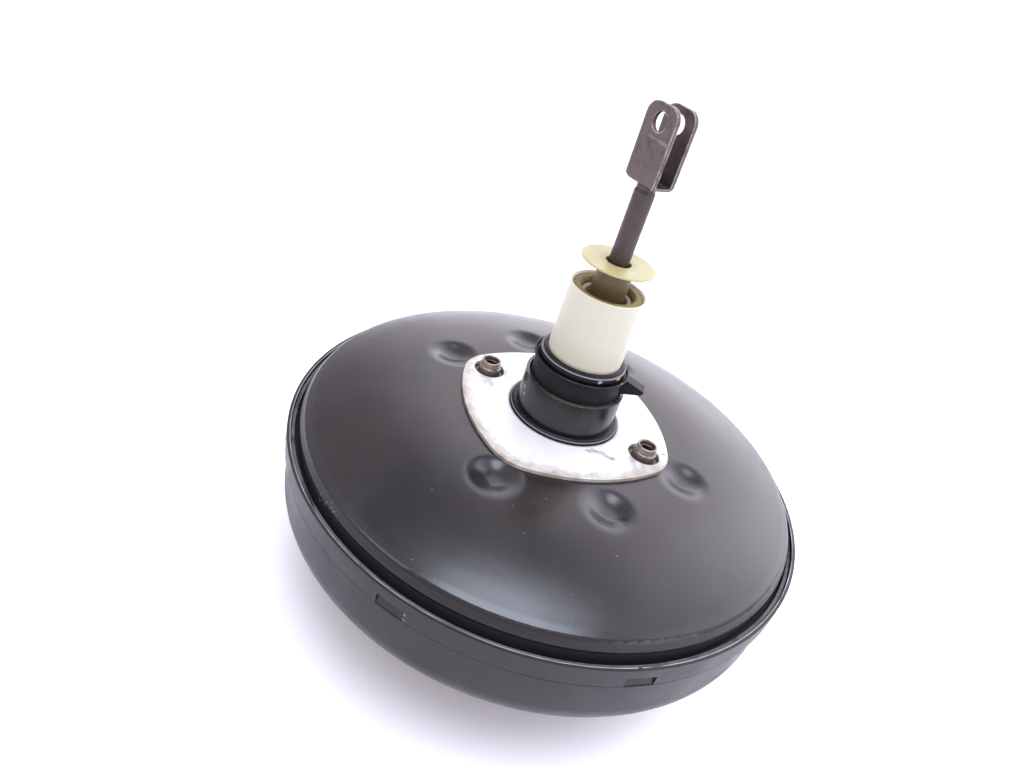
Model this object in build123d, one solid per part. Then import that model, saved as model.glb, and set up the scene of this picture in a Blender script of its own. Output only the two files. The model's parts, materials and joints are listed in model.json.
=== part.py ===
from build123d import *
import math
import os

# Vacuum brake booster. Millimetres. +Z is the booster's axis and points to the pedal.
# The origin is on that axis, in the plane of the mounting plate's pedal-side face.
# The two threaded inserts lie on the X axis.

# --- driving dimensions ---------------------------------------------------------------
rim_radius = 140.0                  # outside of the front shell's rolled rim
rim_top_z = -25.0
rim_step_z = -36.0                  # where the rim band steps in to the side wall
wall_radius = 138.3
shell_thickness = 1.8               # front shell sheet
corner_radius = 15.0
cone_slope = math.radians(22.0)     # front shell's end, measured from flat
front_face_z = -104.0               # where the master cylinder's flange seats
front_face_radius = 58.0
nose_bore_radius = 20.5             # takes the master cylinder's nose
nose_bore_floor_z = -86.0

rear_thickness = 1.6                # rear shell sheet
rear_flat_z = -1.8                  # flat middle of the rear shell, under the plate
dome_start_radius = 64.0            # where the flat turns into the dome's arc
dome_arc_radius = 160.0
dome_corner_radius = 98.0           # where the flat and the dome's outer slope would meet
shoulder_radius = 132.2             # tight bend from the dome into its side
shoulder_z = -17.0
shoulder_fillet = 3.0
dome_edge_radius = 134.4            # small bead at the foot of the dome's side
dome_edge_z = -21.4
groove_radius = 133.7
groove_floor_z = -31.2
lip_radius = 136.2                  # inside of the rear shell's upturned lip
lip_top_z = -26.4
neck_radius = 26.3
neck_top_z = 20.7

lock_count = 8                      # places where the rim is locked over the rear shell
lock_start_angle = -0.4
lock_width = 14.0
lock_top_z = -31.9
lock_slant = -14.5
dimple_ring_radius = 72.0           # pressed dents in the flat of the rear shell
dimple_angles = (-90, -45, 0, 90, 135, 180)
dimple_radius = 10.5
dimple_floor_radius = 2.0
dimple_depth = 3.0

plate_thickness = 1.8
plate_corner_reach = 60.7
plate_side_reach = 54.6
plate_side_arc = 97.0
plate_corner_fillet = 22.7
plate_hole_radius = 30.2            # clears the ring round the foot of the neck
insert_hole_radius = 8.5
insert_offset = 48.25               # half the bolt spacing
insert_top_z = 6.0
insert_radius = 6.15                # knurled barrel, swaged into the rear shell
insert_nose_radius = 5.5            # plain collar above the knurl
insert_flange_radius = 8.2
tap_radius = 3.4                    # tapping size of an M8 thread

tube_foot_radius = 19.42
tube_top_radius = 18.95
tube_top_z = 74.1
tube_bore_radius = 17.6
chamber_radius = 14.2
plunger_radius = 8.2
running_gap = 0.05
hub_radius = 30.0
boss_radius = 24.0
boss_front_z = -46.0
reaction_face_z = -30.0
reaction_radius = 15.4

ball_z = -6.0                       # where the pushrod turns in the plunger
ball_radius = 4.5
rod_radius = 5.05
bridge_z = 125.9                    # outside of the clevis's bridge
clevis_end_z = 160.9
clevis_width = 20.0
clevis_gap = 8.3
clevis_sheet = 2.0
clevis_pin_z = 153.3
clevis_pin_radius = 4.25
clevis_pin_angle = 60.0             # direction of the pin, from +X

stud_offset = 40.0
stud_radius = 4.0
stud_relief_radius = 3.3            # groove where the thread runs out
stud_shank_radius = 5.0
stud_end_z = -126.0
output_rod_radius = 6.0
output_rod_end_z = -114.0

check_angle = 115.0                 # where the vacuum check valve sits
check_offset = 95.0
check_floor_z = -92.5
check_seat_z = check_floor_z - 2.5  # top of the valve's flange, under the grommet
nipple_radius = 5.0
nipple_shoulder = 10.6              # where the hose stops, from the check valve's axis
nipple_end = 31.0


# --- building blocks ------------------------------------------------------------------
def outline(points):
    """A closed flat face in the XZ plane from (x, z) or (x, z, fillet radius) points."""
    corners = [Vector(point[0], 0, point[1]) for point in points]
    arcs = []
    for number, corner in enumerate(corners):
        radius = points[number][2] if len(points[number]) > 2 else 0
        back = (corners[number - 1] - corner).normalized()
        ahead = (corners[(number + 1) % len(corners)] - corner).normalized()
        half_angle = math.radians(back.get_angle(ahead)) / 2
        inward = (back + ahead).normalized()
        if radius and half_angle < math.pi / 2 - 1e-6:
            cut = radius / math.tan(half_angle)
            middle = corner + inward * (radius / math.sin(half_angle) - radius)
            arcs.append((corner + back * cut, middle, corner + ahead * cut))
        else:
            arcs.append((corner, corner, corner))
    edges = []
    for (start, middle, end), (next_start, _, _) in zip(arcs, arcs[1:] + arcs[:1]):
        if (end - start).length > 1e-6:
            edges.append(Edge.make_three_point_arc(start, middle, end))
        if (next_start - end).length > 1e-6:
            edges.append(Edge.make_line(end, next_start))
    return make_face(edges)


def turned(points):
    """A solid of revolution from (radius, z) or (radius, z, fillet radius) points."""
    return revolve(outline(points), Axis.Z)


def sheet(path, thickness):
    """Closed outline of bent sheet: the path is one face, the metal lies to its right."""
    normals = []
    for (r0, z0, *_), (r1, z1, *_) in zip(path, path[1:]):
        length = math.hypot(r1 - r0, z1 - z0)
        normals.append(((z1 - z0) / length, -(r1 - r0) / length))
    ahead = normals + normals[-1:]
    behind = normals[:1] + normals
    other_face = []
    for point, (ax, az), (bx, bz) in zip(path, behind, ahead):
        reach = thickness / (1 + ax * bx + az * bz)
        turn = ax * bz - az * bx
        fillet_radius = point[2] if len(point) > 2 else 0
        if fillet_radius and turn < 0:
            fillet_radius -= thickness
        elif fillet_radius and turn > 0:
            fillet_radius += thickness
        corner = (point[0] + reach * (ax + bx), point[1] + reach * (az + bz), fillet_radius)
        other_face.append(corner)
    return list(path) + other_face[::-1]


def ring(inner, outer, low, high):
    """A plain washer or tube."""
    return turned([(inner, low), (outer, low), (outer, high), (inner, high)])


def disc(radius, low, high):
    """An upright cylinder on the axis."""
    return Pos(0, 0, (low + high) / 2) * Cylinder(radius, high - low)


def around(angle, radius, shape, z=0.0):
    """The shape moved out to a radius and turned round the axis."""
    return Rot(0, 0, angle) * Pos(radius, 0, z) * shape


def coil(radius, wire_radius, low, high, turns):
    """A helical compression spring between two levels."""
    height = high - low - 2 * wire_radius
    path = Helix(height / turns, height, radius)
    section = Plane(path @ 0, z_dir=path % 0) * Circle(wire_radius)
    return Pos(0, 0, low + wire_radius) * sweep(section, path=path, is_frenet=True)


def dome_z(radius):
    """Level of the dome's outside at a radius of its arc."""
    run = radius - dome_start_radius
    return rear_flat_z - dome_arc_radius + math.sqrt(dome_arc_radius**2 - run**2)


def cone_z(radius):
    """Level of the front shell's outside at a radius of its cone."""
    corner_z = rim_step_z - 30.1
    return corner_z - (wall_radius - radius) * math.tan(cone_slope)


# --- casing ---------------------------------------------------------------------------
def make_front_shell():
    path = [
        (rim_radius, rim_top_z),
        (rim_radius, rim_step_z, 2.4),
        (wall_radius, rim_step_z - 1.7, 1.2),
        (wall_radius, cone_z(wall_radius), corner_radius),
        (front_face_radius + 4, cone_z(front_face_radius + 4), 2.5),
        (front_face_radius, front_face_z, 4.3),
        (nose_bore_radius, front_face_z, 2.3),
        (nose_bore_radius, nose_bore_floor_z, 0.4),
        (10.0, nose_bore_floor_z),
    ]
    shell = turned(sheet(path, shell_thickness))
    # A pressed cup in the cone gives the check valve a flat floor.
    cup = disc(15.5, check_floor_z, -70) - disc(13.7, check_floor_z + shell_thickness, -69)
    cup -= disc(9.6, check_floor_z - 1, -69)
    rise = shell_thickness / math.cos(cone_slope)
    inside = turned([(70, cone_z(70) + rise), (120, cone_z(120) + rise), (120, -50), (70, -50)])
    cup = around(check_angle, check_offset, cup) - inside
    shell = shell - around(check_angle, check_offset, disc(13.7, -100, -69)) + cup
    for side in (-1, 1):
        shell -= Pos(side * stud_offset, 0, 0) * disc(stud_shank_radius + 0.1, -110, -95)
    # Lock places: the rim is pressed in on a slant over the step, below two small lances.
    slant = Rot(0, lock_slant, 0) * Pos(2.0, 0, 0) * Box(4.0, lock_width, 9.0)
    press = Pos(rim_radius - 0.75, 0, lock_top_z - 2.9) * slant
    for side in (-1, 1):
        lance = Box(2.4, 0.9, 1.1)
        press += Pos(rim_radius, side * (lock_width / 2 - 0.4), lock_top_z - 0.3) * lance
    for number in range(lock_count):
        shell -= Rot(0, 0, lock_start_angle + number * 360 / lock_count) * press
    return shell


def make_rear_shell():
    path = [
        (neck_radius, neck_top_z),
        (neck_radius, rear_flat_z, 1.6),
        (dome_corner_radius, rear_flat_z, dome_arc_radius),
        (shoulder_radius, shoulder_z, shoulder_fillet),
        (dome_edge_radius, dome_edge_z, 2.0),
        (groove_radius, dome_edge_z - 1.4, 0.6),
        (groove_radius, groove_floor_z, 0.6),
        (lip_radius, groove_floor_z, 0.6),
        (lip_radius, lip_top_z),
    ]
    shell = turned(sheet(path, rear_thickness))
    for side in (-1, 1):
        shell -= Pos(side * insert_offset, 0, 0) * disc(insert_radius + 0.05, -5, 0)
    # Each dent is pressed along the dome's normal and bulges out underneath.
    dent_path = [
        (0, -dimple_depth),
        (dimple_floor_radius, -dimple_depth, 10.0),
        (dimple_radius, 0.15, 14.0),
        (dimple_radius + 4.0, 0.15),
    ]
    dent = turned(dent_path + [(dimple_radius + 4.0, 4.0), (0, 4.0)])
    bulge = turned(sheet(dent_path, rear_thickness)) & disc(dimple_radius - 2.0, -10, 0)
    tilt = math.asin((dimple_ring_radius - dome_start_radius) / dome_arc_radius)
    for angle in dimple_angles:
        place = around(angle, dimple_ring_radius, Rot(0, math.degrees(tilt), 0), dome_z(dimple_ring_radius))
        shell = shell - place * dent + place * bulge
    return shell


def make_mounting_plate():
    side_centre = plate_side_arc - plate_side_reach
    blank = Circle(plate_side_arc)
    for quarter in range(4):
        blank &= Rot(0, 0, 45 + 90 * quarter) * Pos(-side_centre, 0) * Circle(plate_side_arc)
    blank = fillet(blank.vertices(), plate_corner_fillet)
    blank -= Circle(plate_hole_radius)
    for side in (-1, 1):
        blank -= Pos(side * insert_offset, 0) * Circle(insert_hole_radius)
    return Pos(0, 0, -plate_thickness) * extrude(blank, plate_thickness)


def make_threaded_inserts():
    head_z = rear_flat_z - rear_thickness
    insert = turned([
        (tap_radius, head_z - 3.2),
        (insert_flange_radius, head_z - 3.2, 0.5),
        (insert_flange_radius, head_z, 0.4),
        (insert_radius, head_z),
        (insert_radius, 2.2, 0.3),
        (insert_nose_radius, 2.7, 0.3),
        (insert_nose_radius, insert_top_z - 1.2, 0.4),
        (insert_nose_radius - 0.6, insert_top_z, 0.2),
        (tap_radius + 1.2, insert_top_z, 0.2),
        (tap_radius, insert_top_z - 1.5),
    ])
    return [Pos(side * insert_offset, 0, 0) * insert for side in (-1, 1)]


def make_neck_base_ring():
    # It stands on the rear shell, inside the plate's hole.
    inner = neck_radius + 0.05
    outer = plate_hole_radius - 0.3
    return turned([
        (outer, rear_flat_z, 0.3),
        (outer, 0.9, 0.4),
        (outer - 1.5, 2.4, 0.8),
        (inner, 2.4),
        (inner, rear_flat_z + 2.2),
        (inner + 2.2, rear_flat_z),
    ])


def make_neck_seal():
    body = turned([
        (22.9, 3.0),
        (24.6, 3.0, 0.4),
        (24.6, 19.6, 0.4),
        (23.6, 20.6, 0.6),
        (23.6, 30.2, 1.0),
        (25.1, 31.4, 0.4),
        (25.1, 32.8, 0.5),
        (24.2, 32.8, 0.3),
        (24.2, 31.2, 0.5),
        (22.9, 30.8),
    ])
    tab = outline([(23.2, 32.2), (35.2, 28.6, 0.6), (34.0, 26.4, 0.6), (23.2, 23.0)])
    tab = extrude(tab, 3.4, both=True)
    return body + Rot(0, 0, 15) * tab


def make_guide_bearing():
    return turned([
        (19.5, 4.0, 0.3),
        (22.8, 4.0, 0.3),
        (22.8, 29.8),
        (22.6, 30.2),
        (22.6, 35.9, 0.5),
        (21.4, 35.9, 0.3),
        (21.4, 33.4),
        (19.5, 33.4, 0.3),
    ])


def make_wiper_lip():
    return turned([
        (19.75, 33.5, 0.3),
        (21.3, 33.5),
        (21.3, 35.6, 0.3),
        (20.5, 37.0, 0.3),
        (19.75, 37.0, 0.2),
    ])


def make_reinforcement_plate():
    low = front_face_z + shell_thickness
    plate = turned([
        (23.4, low),
        (50.0, low),
        (50.0, low + 2.0, 0.6),
        (25.0, low + 2.0, 0.6),
        (23.4, low + 3.6, 0.4),
    ])
    for side in (-1, 1):
        plate -= Pos(side * stud_offset, 0, 0) * disc(stud_shank_radius + 0.1, -110, -95)
    return plate


def make_master_cylinder_studs():
    # The wider shank is pressed through the shell and its plate, up to the head.
    seat = front_face_z + shell_thickness + 2.0
    shoulder = front_face_z + 0.1
    stud = turned([
        (0, stud_end_z),
        (2.6, stud_end_z),
        (stud_radius, stud_end_z + 1.4),
        (stud_radius, front_face_z - 1.6),
        (stud_relief_radius, front_face_z - 1.2),
        (stud_relief_radius, shoulder),
        (stud_shank_radius, shoulder),
        (stud_shank_radius, seat),
        (7.0, seat),
        (7.0, seat + 3.6, 0.8),
        (0, seat + 3.6),
    ])
    return [Pos(side * stud_offset, 0, 0) * stud for side in (-1, 1)]


def make_front_seal():
    floor = nose_bore_floor_z
    return turned([
        (output_rod_radius + 0.3, floor - 4.6, 0.3),
        (7.6, floor - 4.6, 0.4),
        (9.4, floor - 1.9, 0.8),
        (17.6, floor - 1.9, 0.8),
        (18.6, floor - 5.0, 0.4),
        (20.3, floor - 5.0, 0.4),
        (20.3, floor - 0.2, 0.4),
        (output_rod_radius + 0.3, floor - 0.2, 0.5),
    ])


def make_seal_retainer():
    floor = nose_bore_floor_z
    path = [(20.4, floor - 9.0), (20.4, floor - 5.2, 1.3), (10.0, floor - 5.2)]
    return turned(sheet(path[::-1], 1.0))


# --- vacuum check valve ---------------------------------------------------------------
def make_check_grommet():
    grommet = turned([
        (6.1, check_floor_z - 2.4, 0.4),
        (12.6, check_floor_z - 2.4, 0.8),
        (12.6, check_floor_z, 0.3),
        (9.5, check_floor_z),
        (9.5, check_floor_z + shell_thickness),
        (11.4, check_floor_z + shell_thickness, 0.3),
        (10.2, check_floor_z + shell_thickness + 2.6, 0.8),
        (6.1, check_floor_z + shell_thickness + 2.6, 0.4),
    ])
    return around(check_angle, check_offset, grommet)


def make_check_valve_body():
    top = check_seat_z
    body = turned([
        (0, top - 16.0),
        (9.6, top - 16.0, 1.5),
        (9.6, top - 2.2, 0.5),
        (10.8, top - 2.2, 0.4),
        (10.8, top, 0.4),
        (6.0, top),
        (6.0, top + 7.4, 0.3),
        (6.7, top + 8.2, 0.3),
        (5.4, top + 10.6, 0.3),
        (0, top + 10.6),
    ])
    body -= disc(3.0, top - 3, top + 11)
    body -= disc(7.6, top - 14.0, top - 2.4)
    nipple = turned([
        (0, 8.0),
        (nipple_radius + 1.4, 8.0),
        (nipple_radius + 1.4, nipple_shoulder, 0.3),
        (nipple_radius, nipple_shoulder),
        (nipple_radius, nipple_end - 1.0),
        (nipple_radius - 0.6, nipple_end, 0.3),
        (0, nipple_end),
    ])
    sideways = Pos(0, 0, top - 9.0) * Rot(0, 90, 0)
    body = body + sideways * nipple - sideways * disc(3.2, 5.0, nipple_end + 1.0)
    return around(check_angle, check_offset, body)


def make_check_disc():
    top = check_seat_z - 2.45
    plug = turned([(0, top - 1.4), (6.2, top - 1.4, 0.3), (6.2, top, 0.3), (0, top)])
    return around(check_angle, check_offset, plug)


def make_check_spring():
    spring = coil(4.4, 0.35, check_seat_z - 13.95, check_seat_z - 3.95, 4)
    return around(check_angle, check_offset, spring)


# --- power piston ---------------------------------------------------------------------
def make_valve_body():
    body = turned([
        (tube_top_radius, tube_top_z - 0.4),
        (tube_foot_radius, 37.0),
        (tube_foot_radius, -9.0, 1.2),
        (hub_radius, -11.0, 0.8),
        (hub_radius, -13.0, 0.4),
        (27.0, -13.0, 0.4),
        (27.0, -16.3, 0.4),
        (hub_radius, -16.3, 0.4),
        (hub_radius, -20.0, 0.6),
        (boss_radius, -20.0),
        (boss_radius, boss_front_z, 0.8),
        (reaction_radius, boss_front_z),
        (reaction_radius, reaction_face_z),
        (plunger_radius + running_gap, reaction_face_z),
        (plunger_radius + running_gap, -9.0),
        (11.2, -5.4),
        (11.2, -0.8),
        (12.0, 0.0, 0.3),
        (12.8, 0.0, 0.3),
        (chamber_radius, -1.2),
        (chamber_radius, 44.0),
        (tube_bore_radius, 47.0),
        (tube_bore_radius, tube_top_z - 1.0),
        (tube_top_radius - 0.5, tube_top_z),
        (tube_top_radius - 0.2, tube_top_z),
    ])
    # Radial slot for the key, and the air passages beside the plunger.
    body -= Pos(0, 0, -6.8) * Box(60, 15.0, 2.6)
    for angle in (65, 115, 245, 295):
        body -= around(angle, 19.6, Box(3.2, 6.0, 60), -20.0) & disc(22.5, -60, -9.5)
    return body


def make_valve_key():
    key = Box(50.0, 14.2, 1.6)
    key -= Pos(10.0, 0, 0) * Box(32.6, 12.6, 2)
    return Pos(0, 0, -6.8) * key


def make_diaphragm_plate():
    path = [
        (boss_radius + 0.3, -20.1),
        (60.0, -20.1, 12.0),
        (117.6, -24.2, 3.5),
        (117.6, -31.5),
    ]
    return turned(sheet(path, 1.2))


def make_diaphragm():
    path = [
        (29.0, -13.6),
        (31.0, -13.6, 3.0),
        (42.0, -17.6, 4.0),
        (62.0, -17.6, 12.0),
        (121.0, -21.6, 4.0),
        (121.0, -49.0, 5.2),
        (132.8, -49.0, 5.2),
        (132.8, -33.6),
    ]
    skin = turned(sheet(path, 2.0))
    skin += ring(27.2, 29.4, -16.1, -13.2)
    return skin + ring(132.8, 137.9, -34.9, -33.0)


def make_reaction_disc():
    edge = reaction_radius - 0.2
    return turned([(0, -36.8), (edge, -36.8, 0.4), (edge, -30.1, 0.4), (0, -30.1)])


def make_output_rod():
    head = reaction_radius - 0.2
    return turned([
        (0, output_rod_end_z),
        (3.0, output_rod_end_z, 1.2),
        (output_rod_radius - 1.0, output_rod_end_z + 3.0, 1.0),
        (output_rod_radius - 1.0, output_rod_end_z + 9.0),
        (output_rod_radius, output_rod_end_z + 10.0),
        (output_rod_radius, -45.0, 1.5),
        (10.0, -42.5, 1.0),
        (head, -42.5, 0.4),
        (head, -36.9, 0.4),
        (0, -36.9),
    ])


def make_rod_retainer():
    outer = boss_radius + 1.3
    front = boss_front_z - 1.3
    return turned(sheet([(outer, -30.0), (outer, front, 1.6), (7.0, front)], 1.2))


# --- control valve inside the hub -----------------------------------------------------
def make_plunger():
    socket = ball_radius + 0.08
    plunger = turned([
        (0, -27.4),
        (6.4, -27.4, 0.4),
        (6.4, -23.0),
        (plunger_radius, -22.0, 0.3),
        (plunger_radius, -10.6, 0.3),
        (6.2, -10.6),
        (6.2, -2.4),
        (10.4, -2.2, 0.3),
        (10.4, 0.0, 0.3),
        (5.4, 0.0),
        (3.9, ball_z + 3.0),
        (3.9, ball_z),
        (0, ball_z),
    ])
    return plunger - Pos(0, 0, ball_z) * Sphere(socket)


def make_poppet():
    return turned([
        (7.6, 0.3, 0.4),
        (13.4, 0.3, 0.4),
        (13.4, 3.0, 0.6),
        (11.4, 4.0, 1.0),
        (11.4, 19.5, 1.0),
        (14.0, 21.0, 0.6),
        (14.0, 24.0, 0.3),
        (10.4, 24.0, 0.6),
        (10.4, 4.4, 1.0),
        (7.6, 3.0, 0.6),
    ])


def make_poppet_retainer():
    path = [(14.1, 38.0), (14.1, 24.2, 1.5), (9.6, 24.2)]
    return turned(sheet(path, 1.0))


def make_poppet_spring():
    return coil(9.0, 0.45, 4.6, 24.0, 5)


def make_rod_return_spring():
    return coil(11.0, 0.9, 25.4, 51.3, 5)


def make_spring_seat():
    return turned([
        (rod_radius + 0.02, 51.8),
        (12.4, 51.8, 0.4),
        (12.4, 53.2, 0.4),
        (7.0, 53.2, 0.6),
        (7.0, 56.0, 0.4),
        (rod_radius + 0.02, 56.0),
    ])


def make_air_filter():
    return turned([
        (10.6, 60.0, 0.5),
        (12.9, 60.0),
        (12.9, 70.4, 0.8),
        (10.6, 70.4, 0.8),
    ])


def make_filter_ring():
    return turned([
        (13.0, 60.0),
        (tube_bore_radius - 0.1, 60.0, 0.4),
        (tube_bore_radius - 0.1, 73.0, 1.0),
        (14.2, 73.6, 1.6),
        (13.0, 71.6, 0.8),
    ])


# --- pushrod --------------------------------------------------------------------------
def make_pushrod():
    rod = turned([
        (0, ball_z),
        (2.6, ball_z),
        (2.6, 0.0),
        (4.0, 6.0),
        (4.0, 50.0),
        (rod_radius, 51.0),
        (rod_radius, bridge_z - 3.0, 0.6),
        (4.5, bridge_z - 1.6, 0.6),
        (4.5, bridge_z),
        (2.6, bridge_z),
        (2.6, bridge_z + clevis_sheet),
        (3.2, bridge_z + clevis_sheet),
        (3.2, bridge_z + clevis_sheet + 0.5),
        (2.0, bridge_z + clevis_sheet + 1.2),
        (0, bridge_z + clevis_sheet + 1.2),
    ])
    return rod + Pos(0, 0, ball_z) * Sphere(ball_radius)


def make_pedal_clevis():
    outside = clevis_gap / 2 + clevis_sheet
    path = [
        (outside, clevis_end_z),
        (outside, bridge_z, 2.8),
        (-outside, bridge_z, 2.8),
        (-outside, clevis_end_z),
    ]
    half = clevis_width / 2
    strap = extrude(outline(sheet(path, clevis_sheet)), half, both=True)
    side_view = outline([
        (-half, bridge_z, 3.5),
        (half, bridge_z, 3.5),
        (half, clevis_end_z, 6.0),
        (-half, clevis_end_z, 6.0),
    ])
    strap &= Rot(0, 0, 90) * extrude(side_view, outside + 1, both=True)
    strap -= Pos(0, 0, clevis_pin_z) * Rot(0, 90, 0) * Cylinder(clevis_pin_radius, 40)
    strap -= disc(2.65, bridge_z - 1, bridge_z + clevis_sheet + 1)
    return Rot(0, 0, clevis_pin_angle) * strap


def make_flanged_sleeve():
    return turned([
        (rod_radius + 0.02, 64.0, 0.4),
        (8.85, 64.0, 0.4),
        (8.85, 87.2, 0.6),
        (18.3, 87.3, 0.3),
        (18.3, 88.3, 0.3),
        (6.3, 88.3, 0.4),
        (6.3, 67.0),
        (rod_radius + 0.02, 67.0, 0.4),
    ])


def make_return_spring():
    return coil(28.6, 2.0, front_face_z + shell_thickness + 2.0, -21.4, 5)


parts = {
    "front_shell": make_front_shell,
    "rear_shell": make_rear_shell,
    "mounting_plate": make_mounting_plate,
    "threaded_inserts": make_threaded_inserts,
    "neck_base_ring": make_neck_base_ring,
    "neck_seal": make_neck_seal,
    "guide_bearing": make_guide_bearing,
    "wiper_lip": make_wiper_lip,
    "reinforcement_plate": make_reinforcement_plate,
    "master_cylinder_studs": make_master_cylinder_studs,
    "front_seal": make_front_seal,
    "seal_retainer": make_seal_retainer,
    "check_valve_grommet": make_check_grommet,
    "check_valve_body": make_check_valve_body,
    "check_valve_disc": make_check_disc,
    "check_valve_spring": make_check_spring,
    "return_spring": make_return_spring,
    "diaphragm": make_diaphragm,
    "diaphragm_plate": make_diaphragm_plate,
    "valve_body": make_valve_body,
    "valve_key": make_valve_key,
    "reaction_disc": make_reaction_disc,
    "output_rod": make_output_rod,
    "output_rod_retainer": make_rod_retainer,
    "poppet_valve": make_poppet,
    "poppet_retainer": make_poppet_retainer,
    "poppet_spring": make_poppet_spring,
    "air_filter": make_air_filter,
    "filter_ring": make_filter_ring,
    "plunger": make_plunger,
    "rod_return_spring": make_rod_return_spring,
    "rod_spring_seat": make_spring_seat,
    "pushrod": make_pushrod,
    "pedal_clevis": make_pedal_clevis,
    "flanged_sleeve": make_flanged_sleeve,
}

os.makedirs("parts", exist_ok=True)
for name, make in parts.items():
    shape = make()
    if isinstance(shape, list):
        shape = Compound(children=shape)
    export_step(shape, f"parts/{name}.step")
    print(name, round(shape.volume), flush=True)
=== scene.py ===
import json

import bmesh
import bpy
import numpy as np
from mathutils import Matrix, Vector


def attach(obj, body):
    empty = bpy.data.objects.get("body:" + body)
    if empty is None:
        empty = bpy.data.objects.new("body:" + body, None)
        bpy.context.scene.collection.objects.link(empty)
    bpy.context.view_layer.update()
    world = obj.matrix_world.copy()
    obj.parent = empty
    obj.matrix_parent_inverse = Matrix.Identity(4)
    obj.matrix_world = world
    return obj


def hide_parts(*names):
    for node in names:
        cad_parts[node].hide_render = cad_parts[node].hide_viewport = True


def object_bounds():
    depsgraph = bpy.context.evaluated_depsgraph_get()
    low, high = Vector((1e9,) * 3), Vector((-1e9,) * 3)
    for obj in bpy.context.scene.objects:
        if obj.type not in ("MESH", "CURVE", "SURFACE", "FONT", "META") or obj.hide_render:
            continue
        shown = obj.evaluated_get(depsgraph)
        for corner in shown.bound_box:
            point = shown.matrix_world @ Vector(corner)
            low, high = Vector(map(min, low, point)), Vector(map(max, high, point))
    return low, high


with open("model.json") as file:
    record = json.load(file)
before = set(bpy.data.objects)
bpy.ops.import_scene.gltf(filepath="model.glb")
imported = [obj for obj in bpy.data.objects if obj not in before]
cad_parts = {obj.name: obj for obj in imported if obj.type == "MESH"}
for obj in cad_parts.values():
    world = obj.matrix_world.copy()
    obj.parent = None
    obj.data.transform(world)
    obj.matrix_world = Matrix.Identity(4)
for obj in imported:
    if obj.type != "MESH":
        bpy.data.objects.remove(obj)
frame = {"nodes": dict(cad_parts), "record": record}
cadLow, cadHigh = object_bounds()
nodes = frame["nodes"]
scene = bpy.context.scene
mm = 0.001
boltOffset = 48.25                       # of each threaded insert from the axis, in millimetres

# Everything is in metres. +Z is the booster's axis and points to the pedal.

# camera, floor and light

cameraValues = {
    "place": (0.08715, -0.31424, 0.20819),
    "right": (0.83368, 0.48914, 0.25636),
    "up": (-0.46214, 0.36379, 0.80875),
    "back": (0.30234, -0.79271, 0.52934),
    "sensor": 36.0,
    "lens": 25.31,
}

floorValues = {"halfSize": 9.0, "colour": (0.93, 0.93, 0.94, 1), "roughness": 0.7}

skyValues = {
    "colour": (0.84, 0.77, 0.86, 1),
    # soft boxes: where each lies, the cosines of its edge and of its full middle, and what it adds
    "boxes": {
        "ceiling": {
            "towards": (0.12, -0.2, 0.97), "edge": 0.92, "middle": 0.98,
            "colour": (6.6, 7.3, 8.7, 1),
        },
        "farWall": {
            "towards": (0.05, 0.94, 0.3), "edge": 0.55, "middle": 0.99,
            "colour": (1.8, 1.75, 1.88, 1),
        },
        "rightWall": {
            "towards": (0.62, 0.5, 0.55), "edge": 0.78, "middle": 0.97,
            "colour": (1.2, 1.15, 1.35, 1),
        },
    },
}

lampValues = {
    "keyLamp": {"place": (-0.9, -1.1, 1.5), "size": 0.9, "watts": 4.0, "colour": (1, 0.99, 0.97)},
    "sideLamp": {"place": (1.5, -0.5, 0.5), "size": 0.8, "watts": 4.0, "colour": (1, 1, 1)},
}


def makeCamera(values):
    camera = bpy.data.objects.new("camera", bpy.data.cameras.new("camera"))
    turn = Matrix((values["right"], values["up"], values["back"])).transposed()
    camera.matrix_world = Matrix.Translation(values["place"]) @ turn.to_4x4()
    camera.data.sensor_width = values["sensor"]
    camera.data.lens = values["lens"]
    camera.data.clip_start = 0.01
    scene.collection.objects.link(camera)
    scene.camera = camera


def makeFloor(values):
    half, level = values["halfSize"], cadLow.z
    corners = [(-half, -half, level), (half, -half, level), (half, half, level), (-half, half, level)]
    mesh = bpy.data.meshes.new("floor")
    mesh.from_pydata(corners, [], [(0, 1, 2, 3)])
    floor = bpy.data.objects.new("floor", mesh)
    scene.collection.objects.link(floor)
    material, tree, shader = newMaterial("floorPaint")
    shader.inputs["Base Color"].default_value = values["colour"]
    shader.inputs["Roughness"].default_value = values["roughness"]
    shader.inputs["Specular IOR Level"].default_value = 0.1
    mesh.materials.append(material)


def makeSky(values):
    world = bpy.data.worlds.new("softRoom")
    world.use_nodes = True
    tree = world.node_tree
    back = tree.nodes["Background"]
    towards = addNode(tree, "ShaderNodeTexCoord").outputs["Generated"]
    colour = values["colour"]
    for box in values["boxes"].values():
        middle = Vector(box["towards"]).normalized()
        match = vectorMath(tree, "DOT_PRODUCT", towards, middle, "Value")
        inside = fadeBetween(tree, match, box["edge"], box["middle"])
        colour = mixColours(tree, inside, colour, box["colour"], "ADD")
    tree.links.new(colour, back.inputs["Color"])
    scene.world = world
    scene.view_settings.view_transform = "Standard"


def makeLamp(name, values):
    lamp = bpy.data.objects.new(name, bpy.data.lights.new(name, "AREA"))
    lamp.data.shape = "DISK"
    lamp.data.size = values["size"]
    lamp.data.energy = values["watts"]
    lamp.data.color = values["colour"]
    lamp.location = values["place"]
    lamp.rotation_mode = "QUATERNION"
    lamp.rotation_quaternion = (-lamp.location).to_track_quat("-Z", "Y")
    scene.collection.objects.link(lamp)


# shader node tools

def addNode(tree, kind, inputs=None, **settings):
    node = tree.nodes.new(kind)
    for name, value in settings.items():
        setattr(node, name, value)
    for name, value in (inputs or {}).items():
        if isinstance(value, bpy.types.NodeSocket):
            tree.links.new(value, node.inputs[name])
        else:
            node.inputs[name].default_value = value
    return node


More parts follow.
